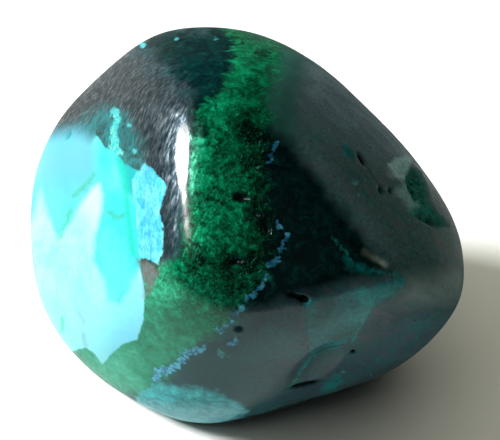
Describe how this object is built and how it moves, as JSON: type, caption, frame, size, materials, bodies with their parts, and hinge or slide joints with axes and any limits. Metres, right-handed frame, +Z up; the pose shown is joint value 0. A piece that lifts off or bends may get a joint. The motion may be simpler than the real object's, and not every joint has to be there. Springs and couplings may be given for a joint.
{
  "type": "tumbled dioptase and chrysocolla stone",
  "caption": "Tumbled, polished stone of green dioptase and turquoise chrysocolla in a dark matrix, with worn flats, a chip, a crease and small pits, resting on a flat foot.",
  "frame": {"origin": "below the middle of the stone's box, on the surface that the foot rests on", "axes": "+X along the stone's longest way, towards its nose; -Y on the side with the green band; +Z up"},
  "size_m": [0.0288, 0.0212, 0.0215],
  "materials": {
    "polished_stone": "tumbled and polished: dark teal matrix with a green band and a turquoise end, glossy all over but for its hollows"
  },
  "bodies": {
    "root": {"stone": "polished_stone"}
  },
  "joints": []
}
